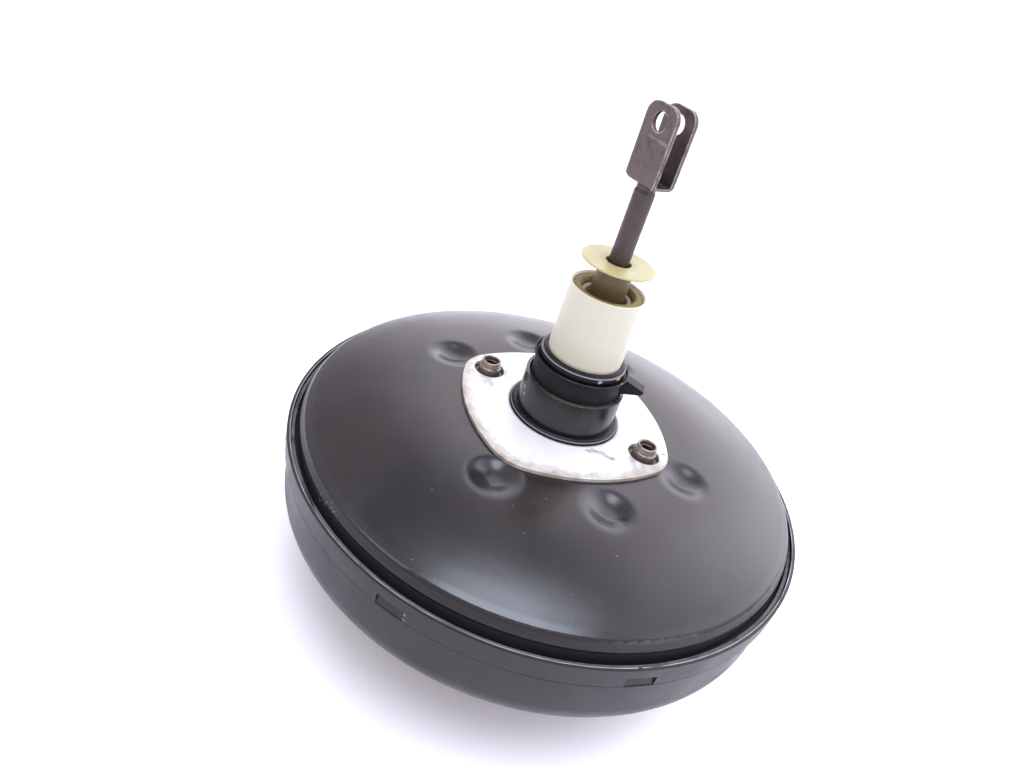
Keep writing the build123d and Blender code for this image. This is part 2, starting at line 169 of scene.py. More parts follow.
def calculate(tree, operation, first, second=0.0, clamp=False):
    inputs = {0: first} if operation in ("SINE", "ABSOLUTE", "FRACT", "SQRT") else {0: first, 1: second}
    return addNode(tree, "ShaderNodeMath", inputs, operation=operation, use_clamp=clamp).outputs[0]


def vectorMath(tree, operation, first, second=None, output="Vector"):
    inputs = {0: first}
    if second is not None:
        inputs["Scale" if operation == "SCALE" else 1] = second
    return addNode(tree, "ShaderNodeVectorMath", inputs, operation=operation).outputs[output]


def objectPlace(tree):
    return addNode(tree, "ShaderNodeTexCoord").outputs["Object"]


def faceNormal(tree):
    return addNode(tree, "ShaderNodeNewGeometry").outputs["Normal"]


def heightOf(tree, vector):
    return addNode(tree, "ShaderNodeSeparateXYZ", {0: vector}).outputs[2]


def fadeBetween(tree, value, start, end):
    # 0 before start and 1 after end, with a smooth step; start may be above end
    inputs = {"Value": value, "From Min": start, "From Max": end}
    node = addNode(tree, "ShaderNodeMapRange", inputs, interpolation_type="SMOOTHSTEP")
    return node.outputs["Result"]


def mixColours(tree, factor, first, second, blend="MIX"):
    inputs = {0: factor, 6: first, 7: second}
    return addNode(tree, "ShaderNodeMix", inputs, data_type="RGBA", blend_type=blend).outputs[2]


def scaled(tree, value, amount):
    return calculate(tree, "MULTIPLY", value, amount)


def larger(tree, first, *others):
    for other in others:
        first = calculate(tree, "MAXIMUM", first, other)
    return first


def useGroup(tree, name, **inputs):
    return addNode(tree, "ShaderNodeGroup", inputs, node_tree=bpy.data.node_groups[name]).outputs


def newGroup(name, inputs, outputs):
    tree = bpy.data.node_groups.new(name, "ShaderNodeTree")
    for key, value in inputs.items():
        kind = "NodeSocketVector" if isinstance(value, tuple) else "NodeSocketFloat"
        tree.interface.new_socket(key, in_out="INPUT", socket_type=kind).default_value = value
    for key in outputs:
        kind = "NodeSocketVector" if key == "Normal" else "NodeSocketFloat"
        tree.interface.new_socket(key, in_out="OUTPUT", socket_type=kind)
    return tree, tree.nodes.new("NodeGroupInput").outputs, tree.nodes.new("NodeGroupOutput").inputs


def newMaterial(name):
    material = bpy.data.materials.new(name)
    material.use_nodes = True
    tree = material.node_tree
    return material, tree, tree.nodes["Principled BSDF"]


# effects that several finishes share

def makeAxisPlaces():
    # how far a point is from the booster's axis, and how high it stands along it, in millimetres
    tree, _, result = newGroup("axisPlaces", {}, ("Radius", "Height"))
    parts = addNode(tree, "ShaderNodeSeparateXYZ", {0: objectPlace(tree)}).outputs
    squares = calculate(tree, "ADD", calculate(tree, "MULTIPLY", parts[0], parts[0]),
                        calculate(tree, "MULTIPLY", parts[1], parts[1]))
    radius = calculate(tree, "SQRT", squares)
    tree.links.new(calculate(tree, "DIVIDE", radius, mm), result["Radius"])
    tree.links.new(calculate(tree, "DIVIDE", parts[2], mm), result["Height"])


def makeBand():
    # 1 inside a band round the centre value, falling to 0 over the softness
    inputs = {"Value": 0.0, "Centre": 0.0, "Half": 1.0, "Softness": 0.3}
    tree, given, result = newGroup("band", inputs, ("Mask",))
    away = calculate(tree, "ABSOLUTE", calculate(tree, "SUBTRACT", given["Value"], given["Centre"]))
    outside = calculate(tree, "ADD", given["Half"], given["Softness"])
    tree.links.new(fadeBetween(tree, away, outside, given["Half"]), result["Mask"])


def makeGrain():
    # fine noise between two limits, for roughness and bumps
    inputs = {"Scale": 400.0, "Detail": 3.0, "Low": 0.0, "High": 1.0}
    tree, given, result = newGroup("grain", inputs, ("Value",))
    place = objectPlace(tree)
    inputs = {"Vector": place, "Scale": given["Scale"], "Detail": given["Detail"]}
    noise = addNode(tree, "ShaderNodeTexNoise", inputs).outputs[0]
    inputs = {
        "Value": noise, "From Min": 0.3, "From Max": 0.7, "To Min": given["Low"], "To Max": given["High"],
    }
    spread = addNode(tree, "ShaderNodeMapRange", inputs)
    tree.links.new(spread.outputs["Result"], result["Value"])


def makeBlotches():
    # soft stains with crisp parts in their edges; a higher cover fills more of the surface
    inputs = {"Scale": 30.0, "Cover": 0.45, "Edge": 0.06}
    tree, given, result = newGroup("blotches", inputs, ("Mask",))
    place = objectPlace(tree)
    inputs = {"Vector": place, "Scale": given["Scale"], "Detail": 6.0, "Roughness": 0.62, "Distortion": 0.6}
    noise = addNode(tree, "ShaderNodeTexNoise", inputs).outputs[0]
    start = calculate(tree, "SUBTRACT", 1.0, given["Cover"])
    end = calculate(tree, "ADD", start, given["Edge"])
    tree.links.new(fadeBetween(tree, noise, start, end), result["Mask"])


def makeSpecks():
    # small separate grains: the middles of a few of the cells of a Voronoi pattern
    inputs = {"Scale": 500.0, "Share": 0.05, "Size": 0.25}
    tree, given, result = newGroup("specks", inputs, ("Mask",))
    place = objectPlace(tree)
    cells = addNode(tree, "ShaderNodeTexVoronoi", {"Vector": place, "Scale": given["Scale"]}).outputs
    chance = addNode(tree, "ShaderNodeSeparateColor", {0: cells["Color"]}).outputs
    size = calculate(tree, "MULTIPLY", given["Size"], chance[1])
    dot = fadeBetween(tree, cells["Distance"], size, scaled(tree, size, 0.6))
    chosen = calculate(tree, "LESS_THAN", chance[0], given["Share"])
    tree.links.new(calculate(tree, "MULTIPLY", dot, chosen), result["Mask"])


def makeDust():
    # a thin film on faces that look up, thicker in patches
    inputs = {"Amount": 0.3, "Scale": 60.0}
    tree, given, result = newGroup("dust", inputs, ("Mask",))
    up = heightOf(tree, faceNormal(tree))
    patches = useGroup(tree, "grain", Scale=given["Scale"], Detail=5.0, Low=0.1, High=1.0)["Value"]
    film = calculate(tree, "MULTIPLY", fadeBetween(tree, up, 0.2, 0.95), patches)
    tree.links.new(calculate(tree, "MULTIPLY", film, given["Amount"], clamp=True), result["Mask"])


def makeWornEdges():
    # where a rounded normal leaves the true one, broken up by noise
    inputs = {"Width": 0.0006, "Scale": 150.0, "Cover": 0.6}
    tree, given, result = newGroup("wornEdges", inputs, ("Mask",))
    rounded = addNode(tree, "ShaderNodeBevel", {"Radius": given["Width"]}, samples=4).outputs[0]
    match = vectorMath(tree, "DOT_PRODUCT", rounded, faceNormal(tree), "Value")
    edge = fadeBetween(tree, match, 0.985, 0.88)
    patches = useGroup(tree, "blotches", Scale=given["Scale"], Cover=given["Cover"], Edge=0.15)["Mask"]
    tree.links.new(calculate(tree, "MULTIPLY", edge, patches), result["Mask"])


def makeStroke():
    # a mark along the line from one point to another, in millimetres, with a wandering edge
    inputs = {
        "Start": (0.0, 0.0, 0.0), "End": (0.0, 0.0, 0.0), "Width": 1.0, "Softness": 0.5, "Wander": 0.0,
    }
    tree, given, result = newGroup("stroke", inputs, ("Mask",))
    place = vectorMath(tree, "SCALE", objectPlace(tree), 1 / mm)
    fromStart = vectorMath(tree, "SUBTRACT", place, given["Start"])
    whole = vectorMath(tree, "SUBTRACT", given["End"], given["Start"])
    along = vectorMath(tree, "DOT_PRODUCT", fromStart, whole, "Value")
    square = vectorMath(tree, "DOT_PRODUCT", whole, whole, "Value")
    share = calculate(tree, "DIVIDE", along, calculate(tree, "ADD", square, 1e-6), clamp=True)
    nearest = vectorMath(tree, "SCALE", whole, share)
    away = vectorMath(tree, "DISTANCE", fromStart, nearest, "Value")
    wander = useGroup(tree, "grain", Scale=240.0, Detail=3.0, Low=-0.5, High=0.5)["Value"]
    away = calculate(tree, "ADD", away, calculate(tree, "MULTIPLY", wander, given["Wander"]))
    outside = calculate(tree, "ADD", given["Width"], given["Softness"])
    tree.links.new(fadeBetween(tree, away, outside, given["Width"]), result["Mask"])


pressedDents = {
    "angles": (-90, -45, 0, 90, 135, 180), "ring": 72.0, "reach": 17.0, "slope": 0.5,
    "flatTo": 64.0, "domeArc": 160.0,
}


def makePressedDents(values=pressedDents):
    # the drawn metal flows softly into each dent: the tilt towards its centre is
    # slope * sin(pi * distance / reach) squared, added to the dome's own outward tilt
    # (radius - flatTo) / domeArc
    tree, _, result = newGroup("pressedDents", {}, ("Mask", "Normal"))
    place = objectPlace(tree)
    flat = vectorMath(tree, "MULTIPLY", place, (1 / mm, 1 / mm, 0.0))
    radius = vectorMath(tree, "LENGTH", flat, output="Value")
    pastFlat = calculate(tree, "SUBTRACT", radius, values["flatTo"])
    outward = larger(tree, calculate(tree, "DIVIDE", pastFlat, values["domeArc"]), 0.0)
    outward = calculate(tree, "DIVIDE", outward, radius)
    lean = vectorMath(tree, "ADD", vectorMath(tree, "SCALE", flat, outward), (0, 0, 1))
    near = 0.0
    for angle in np.radians(values["angles"]):
        centre = (values["ring"] * np.cos(angle), values["ring"] * np.sin(angle), 0)
        away = vectorMath(tree, "SUBTRACT", flat, centre)
        share = scaled(tree, vectorMath(tree, "LENGTH", away, output="Value"), 1 / values["reach"])
        share = calculate(tree, "MINIMUM", share, 1.0)
        wall = calculate(tree, "SINE", scaled(tree, share, np.pi))
        tilt = scaled(tree, calculate(tree, "MULTIPLY", wall, wall), -values["slope"])
        towards = vectorMath(tree, "SCALE", vectorMath(tree, "NORMALIZE", away), tilt)
        lean = vectorMath(tree, "ADD", lean, towards)
        near = larger(tree, near, fadeBetween(tree, share, 1.0, 0.86))
    own = faceNormal(tree)
    near = calculate(tree, "MULTIPLY", near, fadeBetween(tree, heightOf(tree, own), 0.5, 0.7))
    normal = vectorMath(tree, "NORMALIZE", lean)
    mixed = addNode(tree, "ShaderNodeMix", {0: near, 4: own, 5: normal}, data_type="VECTOR").outputs[1]
    tree.links.new(vectorMath(tree, "NORMALIZE", mixed), result["Normal"])
    tree.links.new(near, result["Mask"])


# finishes, one for each slot of the record

def setShader(shader, **values):
    for name, value in values.items():
        shader.inputs[name.replace("_", " ")].default_value = value


def linkShader(tree, shader, **sockets):
    for name, socket in sockets.items():
        tree.links.new(socket, shader.inputs[name.replace("_", " ")])


def roughGrain(tree, values, scale, detail):
    low, high = values["roughness"]
    return useGroup(tree, "grain", Scale=scale, Detail=detail, Low=low, High=high)["Value"]


def bump(tree, height, distance, strength=1.0, under=None):
    inputs = {"Height": height, "Distance": distance, "Strength": strength}
    if under is not None:
        inputs["Normal"] = under
    return addNode(tree, "ShaderNodeBump", inputs).outputs[0]


domeValues = {
    "paint": (0.0035, 0.0034, 0.0045, 1),
    "paintBrown": (0.0085, 0.0058, 0.0058, 1),
    "stain": (0.014, 0.0145, 0.0165, 1),
    "dust": (0.3, 0.28, 0.26, 1),
    "bareSteelAndSheen": (0.3, 0.28, 0.27, 1),
    "groove": (0.0025, 0.002, 0.0025, 1),
    "shoulder": (0.012, 0.0125, 0.0145, 1),
    "roughness": (0.2, 0.31),
    # heights and radii in millimetres, each pair from where a band begins to where it is full
    "sideHeights": (-17.2, -18.6), "sideRadii": (131.0, 132.0),
    "shoulderLevel": -15.9, "shoulderRadii": (127.5, 129.5),
    "grooveHeights": (-22.4, -23.2), "grooveRadii": (132.0, 133.0),
    "neckTopHeights": (20.45, 20.65), "lipHeights": (-26.7, -26.5), "lipRadii": (136.1, 136.3),
    "crumbs": ((-59, -119, -24), (-45, -125, -22.6)),    # dust caught in the groove
    "nicks": ((-17.4, -19.7, 10.3), (-18.6, -18.6, 13.6)),  # staking marks on the neck
}


def domePaint(tree, shader, values=domeValues):
    places = useGroup(tree, "axisPlaces")
    tone = useGroup(tree, "grain", Scale=9.0, Detail=4.0, Low=0.0, High=1.0)["Value"]
    colour = mixColours(tree, tone, values["paint"], values["paintBrown"])
    stains = useGroup(tree, "blotches", Scale=26.0, Cover=0.5, Edge=0.4)["Mask"]
    colour = mixColours(tree, scaled(tree, stains, 0.35), colour, values["stain"])
    dents = useGroup(tree, "pressedDents")
    # each dent gets a lighter bluish tone: a painted highlight for the light spots in the dents
    colour = mixColours(tree, scaled(tree, dents["Mask"], 0.6), colour, values["stain"])
    # the dome's short side is darkened as painted shade, and its shoulder gets a lighter band as a painted
    # highlight
    onSide = calculate(tree, "MULTIPLY", fadeBetween(tree, places["Height"], *values["sideHeights"]),
                       fadeBetween(tree, places["Radius"], *values["sideRadii"]))
    colour = mixColours(tree, onSide, colour, values["groove"])
    shoulder = useGroup(tree, "band", Value=places["Height"], Centre=values["shoulderLevel"],
                        Half=0.5, Softness=0.9)["Mask"]
    shoulder = calculate(tree, "MULTIPLY", shoulder,
                         fadeBetween(tree, places["Radius"], *values["shoulderRadii"]))
    colour = mixColours(tree, shoulder, colour, values["shoulder"])
    # groove under the dome, painted nearly black as painted shade, with crumbs in one stretch
    inGroove = calculate(tree, "MULTIPLY", fadeBetween(tree, places["Height"], *values["grooveHeights"]),
                         fadeBetween(tree, places["Radius"], *values["grooveRadii"]))
    colour = mixColours(tree, inGroove, colour, values["groove"])
    start, end = values["crumbs"]
    stretch = useGroup(tree, "stroke", Start=start, End=end, Width=2.0, Softness=3.0, Wander=3.0)["Mask"]
    crumbs = useGroup(tree, "specks", Scale=900.0, Share=0.45, Size=0.5)["Mask"]
    crumbs = calculate(tree, "MULTIPLY", stretch, crumbs)
    specks = useGroup(tree, "specks", Scale=430.0, Share=0.03, Size=0.22)["Mask"]
    film = useGroup(tree, "dust", Amount=0.02, Scale=45.0)["Mask"]
    dusty = larger(tree, scaled(tree, specks, 0.35), film, crumbs)
    colour = mixColours(tree, dusty, colour, values["dust"])
    # worn top of the neck, and a pale line on the upturned lip at the outer edge that is partly wear and
    # partly a painted highlight
    neckTop = scaled(tree, fadeBetween(tree, places["Height"], *values["neckTopHeights"]), 0.25)
    lipTop = calculate(tree, "MULTIPLY", fadeBetween(tree, places["Radius"], *values["lipRadii"]),
                       fadeBetween(tree, places["Height"], *values["lipHeights"]))
    lipTop = scaled(tree, lipTop, 0.45)
    patches = useGroup(tree, "blotches", Scale=45.0, Cover=0.7, Edge=0.3)["Mask"]
    bareAndSheen = calculate(tree, "MULTIPLY", larger(tree, neckTop, lipTop), patches)
    nicks = larger(tree, *[
        useGroup(tree, "stroke", Start=spot, End=spot, Width=0.7, Softness=0.6, Wander=0.3)["Mask"]
        for spot in values["nicks"]])
    colour = mixColours(tree, bareAndSheen, colour, values["bareSteelAndSheen"])
    colour = mixColours(tree, scaled(tree, nicks, 0.9), colour, values["bareSteelAndSheen"])
    rough = roughGrain(tree, values, 20.0, 5.0)
    rough = calculate(tree, "ADD", rough, scaled(tree, stains, 0.05))
    rough = calculate(tree, "SUBTRACT", rough, scaled(tree, shoulder, 0.08))
    rough = calculate(tree, "ADD", rough, scaled(tree, onSide, 0.16))
    rough = calculate(tree, "ADD", rough, scaled(tree, larger(tree, dusty, inGroove), 0.4), clamp=True)
    waves = useGroup(tree, "grain", Scale=15.0, Detail=1.0, Low=0.0, High=1.0)["Value"]
    peel = useGroup(tree, "grain", Scale=900.0, Detail=2.0, Low=0.0, High=1.0)["Value"]
    normal = bump(tree, peel, 0.00002, 0.5, bump(tree, waves, 0.0003, 0.5, dents["Normal"]))
    normal = bump(tree, calculate(tree, "SUBTRACT", 1.0, nicks), 0.0006, 0.8, normal)
    setShader(shader, IOR=1.53)
    linkShader(tree, shader, Base_Color=colour, Roughness=rough, Normal=normal,
               Metallic=scaled(tree, bareAndSheen, 0.8))


sideValues = {
    "paint": (0.005, 0.005, 0.0062, 1),
    "paintPale": (0.0085, 0.0085, 0.0105, 1),
    "dust": (0.25, 0.24, 0.23, 1),
    "line": (0.75, 0.75, 0.78, 1),
    "seam": (0.006, 0.006, 0.008, 1),
    "scrape": (0.3, 0.3, 0.31, 1),
    "roughness": (0.34, 0.46),
    "seamLevel": -36.4, "rimTopHeights": (-25.25, -25.05), "wornHighlightRadius": 138.45,
    "scrapes": (((5.5, -139.9, -33.5), (7.5, -139.8, -34.5)), ((6.3, -139.8, -31.2), (6.9, -139.8, -31.4))),
    "chip": (95.5, -100.3, -25.0),       # where the worn line on the rim is broken
}


def sidePaint(tree, shader, values=sideValues):
    places = useGroup(tree, "axisPlaces")
    tone = useGroup(tree, "grain", Scale=16.0, Detail=5.0, Low=0.0, High=1.0)["Value"]
    colour = mixColours(tree, tone, values["paint"], values["paintPale"])
    specks = useGroup(tree, "specks", Scale=480.0, Share=0.03, Size=0.22)["Mask"]
    colour = mixColours(tree, scaled(tree, specks, 0.4), colour, values["dust"])
    # dirt in the corner where the rim steps in
    seam = useGroup(tree, "band", Value=places["Height"], Centre=values["seamLevel"],
                    Half=0.9, Softness=0.5)["Mask"]
    colour = mixColours(tree, scaled(tree, seam, 0.85), colour, values["seam"])
    scrapes = larger(tree, *[
        useGroup(tree, "stroke", Start=start, End=end, Width=0.1, Softness=0.5, Wander=1.2)["Mask"]
        for start, end in values["scrapes"]])
    colour = mixColours(tree, scaled(tree, scrapes, 0.4), colour, values["scrape"])
    # a bright line runs round the inner half of the rim's top: partly wear, partly a painted highlight of the
    # rolled edge
    onTop = fadeBetween(tree, places["Height"], *values["rimTopHeights"])
    worn = useGroup(tree, "band", Value=places["Radius"], Centre=values["wornHighlightRadius"],
                    Half=0.1, Softness=0.18)["Mask"]
    patches = useGroup(tree, "grain", Scale=60.0, Detail=5.0, Low=0.05, High=0.8)["Value"]
    line = calculate(tree, "MULTIPLY", calculate(tree, "MULTIPLY", onTop, worn), patches)
    spot = values["chip"]
    chip = useGroup(tree, "stroke", Start=spot, End=spot, Width=0.6, Softness=0.5)["Mask"]
    line = calculate(tree, "SUBTRACT", line, chip, clamp=True)
    colour = mixColours(tree, line, colour, values["line"])
    rough = roughGrain(tree, values, 60.0, 5.0)
    rough = calculate(tree, "ADD", rough, scaled(tree, seam, 0.5), clamp=True)
    peel = useGroup(tree, "grain", Scale=700.0, Detail=2.0, Low=0.0, High=1.0)["Value"]
    waves = useGroup(tree, "grain", Scale=22.0, Detail=2.0, Low=0.0, High=1.0)["Value"]
    normal = bump(tree, peel, 0.00003, 0.5, bump(tree, waves, 0.0003, 0.5))
    setShader(shader, Specular_IOR_Level=0.4)
    linkShader(tree, shader, Base_Color=colour, Roughness=rough, Normal=normal,
               Metallic=scaled(tree, line, 0.6))


plateValues = {
    "metal": (0.68, 0.675, 0.66, 1),
    "smudge": (0.22, 0.23, 0.26, 1),
    "yellow": (0.29, 0.25, 0.17, 1),
    "grime": (0.06, 0.05, 0.04, 1),
    "roughness": (0.42, 0.6),
    "sideCentre": 42.4,                  # of the outline's four large arcs, which are 97 mm in radius
    "cleanTo": 89.0,                     # from those centres, where the dirty border begins
    "neckFoot": 30.2,                    # radius of the ring round the neck
    "streak": ((25.8, -20.5, 0), (37, -17, 0)),
    "crack": ((54.5, 5.5, 0), (57, 9.5, 0)),
}


def platedMetal(tree, shader, values=plateValues):
    places = useGroup(tree, "axisPlaces")
    colour = values["metal"]
    # grey-blue smudges, mostly round the inserts
    near = larger(tree, *[
        useGroup(tree, "stroke", Start=(side, 0, 0), End=(side * 0.9, -6, 0),
                 Width=9.0, Softness=12.0, Wander=8.0)["Mask"]
        for side in (-boltOffset, boltOffset)])
    smudges = useGroup(tree, "blotches", Scale=55.0, Cover=0.52, Edge=0.25)["Mask"]
    thin = useGroup(tree, "blotches", Scale=40.0, Cover=0.47, Edge=0.3)["Mask"]
    amount = larger(tree, calculate(tree, "MULTIPLY", near, smudges), scaled(tree, thin, 0.45))
    colour = mixColours(tree, scaled(tree, amount, 0.8), colour, values["smudge"])
    # the two sides that face away from the light have yellowed, dirty borders
    reach = values["sideCentre"] / np.sqrt(2)
    edges = []
    for side in (-1, 1):
        centre = (side * reach, reach, 0)
        inner = useGroup(tree, "stroke", Start=centre, End=centre, Width=values["cleanTo"],
                         Softness=7.0, Wander=4.0)["Mask"]
        edges.append(calculate(tree, "SUBTRACT", 1.0, inner))
    border = larger(tree, *edges)
    patches = useGroup(tree, "grain", Scale=110.0, Detail=5.0, Low=0.35, High=1.0)["Value"]
    colour = mixColours(tree, calculate(tree, "MULTIPLY", border, patches), colour, values["yellow"])
    dots = useGroup(tree, "specks", Scale=900.0, Share=0.3, Size=0.42)["Mask"]
    dirt = calculate(tree, "MULTIPLY", dots, scaled(tree, border, 0.6))
    start, end = values["streak"]
    streak = useGroup(tree, "stroke", Start=start, End=end, Width=0.3, Softness=3.4, Wander=3.5)["Mask"]
    streaks = useGroup(tree, "grain", Scale=260.0, Detail=3.0, Low=0.0, High=0.9)["Value"]
    start, end = values["crack"]
    crack = useGroup(tree, "stroke", Start=start, End=end, Width=0.12, Softness=0.25, Wander=0.8)["Mask"]
    marks = larger(tree, dirt, calculate(tree, "MULTIPLY", streak, streaks), crack)
    # a darker band on the plate right against the ring round the neck
    foot = useGroup(tree, "band", Value=places["Radius"], Centre=values["neckFoot"],
                    Half=0.3, Softness=0.9)["Mask"]
    marks = larger(tree, marks, scaled(tree, foot, 0.5))
    colour = mixColours(tree, marks, colour, values["grime"])
    rough = roughGrain(tree, values, 90.0, 5.0)
    brushed = useGroup(tree, "grain", Scale=1100.0, Detail=3.0, Low=0.0, High=1.0)["Value"]
    dents = useGroup(tree, "grain", Scale=60.0, Detail=2.0, Low=0.0, High=1.0)["Value"]
    normal = bump(tree, brushed, 0.00002, 0.5, bump(tree, dents, 0.0002, 0.5))
    setShader(shader, Metallic=0.2)
    linkShader(tree, shader, Base_Color=colour, Roughness=rough, Normal=normal)


def agedSteel(values):
    # steel with stains, rust in patches, worn edges and fine grain; marks are scratches, and near-black
    # painted shade down the insert bores
    def finish(tree, shader):
        tone = useGroup(tree, "blotches", Scale=values["stainScale"], Cover=0.47, Edge=0.3)["Mask"]
        colour = mixColours(tree, tone, values["steel"], values["stain"])
        rust = useGroup(tree, "blotches", Scale=values["rustScale"], Cover=values["rustCover"],
                        Edge=0.16)["Mask"]
        fine = useGroup(tree, "grain", Scale=700.0, Detail=4.0, Low=0.4, High=1.0)["Value"]
        rust = calculate(tree, "MULTIPLY", rust, fine)
        colour = mixColours(tree, rust, colour, values["rust"])
        worn = useGroup(tree, "wornEdges", Width=values["edgeWidth"], Scale=190.0, Cover=0.62)["Mask"]
        worn = scaled(tree, worn, values["edgeAmount"])
        colour = mixColours(tree, worn, colour, values["edge"])
        pits = useGroup(tree, "specks", Scale=1100.0, Share=0.3, Size=0.45)["Mask"]
        colour = mixColours(tree, scaled(tree, pits, 0.5), colour, values["rust"])
        for start, end, width, softness in values.get("marks", ()):
            mark = useGroup(tree, "stroke", Start=start, End=end, Width=width, Softness=softness,
                            Wander=values["markWander"])["Mask"]
            colour = mixColours(tree, mark, colour, values["markAndShadeColour"])
        rough = roughGrain(tree, values, 320.0, 4.0)
        rough = calculate(tree, "ADD", rough, scaled(tree, rust, 0.3), clamp=True)
        grain = useGroup(tree, "grain", Scale=1500.0, Detail=3.0, Low=0.0, High=1.0)["Value"]
        normal = bump(tree, calculate(tree, "SUBTRACT", grain, pits), 0.00005, 0.6)
        metallic = calculate(tree, "SUBTRACT", values["metallic"], scaled(tree, rust, 0.7), clamp=True)
        linkShader(tree, shader, Base_Color=colour, Roughness=rough, Normal=normal, Metallic=metallic)
    return finish


rodValues = {
    "steel": (0.07, 0.056, 0.054, 1), "stain": (0.03, 0.018, 0.015, 1), "rust": (0.075, 0.022, 0.01, 1),
    "edge": (0.24, 0.21, 0.2, 1), "stainScale": 42.0, "rustScale": 60.0, "rustCover": 0.47,
    "edgeWidth": 0.0005, "edgeAmount": 0.7, "roughness": (0.33, 0.5), "metallic": 0.75,
}
clevisValues = {
    "steel": (0.11, 0.086, 0.082, 1), "stain": (0.05, 0.032, 0.028, 1), "rust": (0.055, 0.026, 0.018, 1),
    "edge": (0.5, 0.46, 0.44, 1), "stainScale": 110.0, "rustScale": 150.0, "rustCover": 0.46,
    "edgeWidth": 0.0011, "edgeAmount": 0.95, "roughness": (0.33, 0.5), "metallic": 0.7,
    "markAndShadeColour": (0.17, 0.145, 0.135, 1), "markWander": 1.2,
    "marks": (((-4.9, -4.3, 146.6), (5.4, -10.2, 146.0), 0.1, 0.9),
              ((6.3, -10.7, 141.4), (6.8, -11.1, 132.4), 0.1, 0.7)),
}
insertValues = {
    "steel": (0.3, 0.25, 0.21, 1), "stain": (0.13, 0.1, 0.08, 1), "rust": (0.07, 0.045, 0.032, 1),
    "edge": (0.8, 0.77, 0.74, 1), "stainScale": 260.0, "rustScale": 300.0, "rustCover": 0.5,
    "edgeWidth": 0.0004, "edgeAmount": 0.9, "roughness": (0.3, 0.45), "metallic": 0.85,
    "markAndShadeColour": (0.012, 0.01, 0.009, 1), "markWander": 0.0,
    # these marks fill each bore with painted shade
    "marks": [((x, 0, 1.3), (x, 0, -7), 4.1, 0.15) for x in (boltOffset, -boltOffset)],
}
innerValues = {
    "steel": (0.46, 0.46, 0.47, 1), "stain": (0.34, 0.33, 0.32, 1), "rust": (0.2, 0.15, 0.11, 1),
    "edge": (0.7, 0.7, 0.7, 1), "stainScale": 60.0, "rustScale": 60.0, "rustCover": 0.3,
    "edgeWidth": 0.0004, "edgeAmount": 0.5, "roughness": (0.32, 0.46), "metallic": 0.9,
}
zincValues = {
    "steel": (0.62, 0.6, 0.5, 1), "stain": (0.5, 0.5, 0.46, 1), "rust": (0.3, 0.24, 0.16, 1),
    "edge": (0.8, 0.8, 0.78, 1), "stainScale": 140.0, "rustScale": 160.0, "rustCover": 0.32,
    "edgeWidth": 0.0004, "edgeAmount": 0.6, "roughness": (0.26, 0.4), "metallic": 0.9,
}
springValues = {
    "steel": (0.36, 0.36, 0.38, 1), "stain": (0.26, 0.25, 0.24, 1), "rust": (0.16, 0.11, 0.08, 1),
    "edge": (0.6, 0.6, 0.6, 1), "stainScale": 90.0, "rustScale": 120.0, "rustCover": 0.32,
    "edgeWidth": 0.0003, "edgeAmount": 0.3, "roughness": (0.28, 0.42), "metallic": 0.9,
}


def mouldedRubber(values):
    # rubber or dark plastic with a bloom, a little dust and paler worn edges
    def finish(tree, shader):
        places = useGroup(tree, "axisPlaces")
        tone = useGroup(tree, "blotches", Scale=60.0, Cover=0.42, Edge=0.3)["Mask"]
        colour = mixColours(tree, tone, values["dark"], values["bloom"])
        specks = useGroup(tree, "specks", Scale=1000.0, Share=values["speckShare"], Size=0.4)["Mask"]
        film = useGroup(tree, "dust", Amount=values["film"], Scale=150.0)["Mask"]
        dusty = larger(tree, scaled(tree, specks, 0.55), film)
        colour = mixColours(tree, dusty, colour, values["dust"])
        # pale rings at the given radii, from the given heights upward: painted highlights on rounded edges
        for radius, level in values["highlightRings"]:
            circle = useGroup(tree, "band", Value=places["Radius"], Centre=radius,
                              Half=0.12, Softness=0.12)["Mask"]
            top = calculate(tree, "MULTIPLY", circle, fadeBetween(tree, places["Height"], level - 0.4, level))
            colour = mixColours(tree, scaled(tree, top, 0.75), colour, values["edge"])
        worn = useGroup(tree, "wornEdges", Width=0.0005, Scale=140.0, Cover=0.6)["Mask"]
        colour = mixColours(tree, scaled(tree, worn, values["edgeAmount"]), colour, values["edge"])
        for start, end, width, tint in values["marks"]:
            mark = useGroup(tree, "stroke", Start=start, End=end, Width=width,
                            Softness=0.7, Wander=1.2)["Mask"]
            colour = mixColours(tree, scaled(tree, mark, 0.9), colour, tint)
        rough = roughGrain(tree, values, 200.0, 4.0)
        rough = calculate(tree, "ADD", rough, scaled(tree, dusty, 0.3), clamp=True)
        grain = useGroup(tree, "grain", Scale=1600.0, Detail=2.0, Low=0.0, High=1.0)["Value"]
        setShader(shader, Specular_IOR_Level=values["specular"])
        linkShader(tree, shader, Base_Color=colour, Roughness=rough, Normal=bump(tree, grain, 0.00002, 0.5))
    return finish


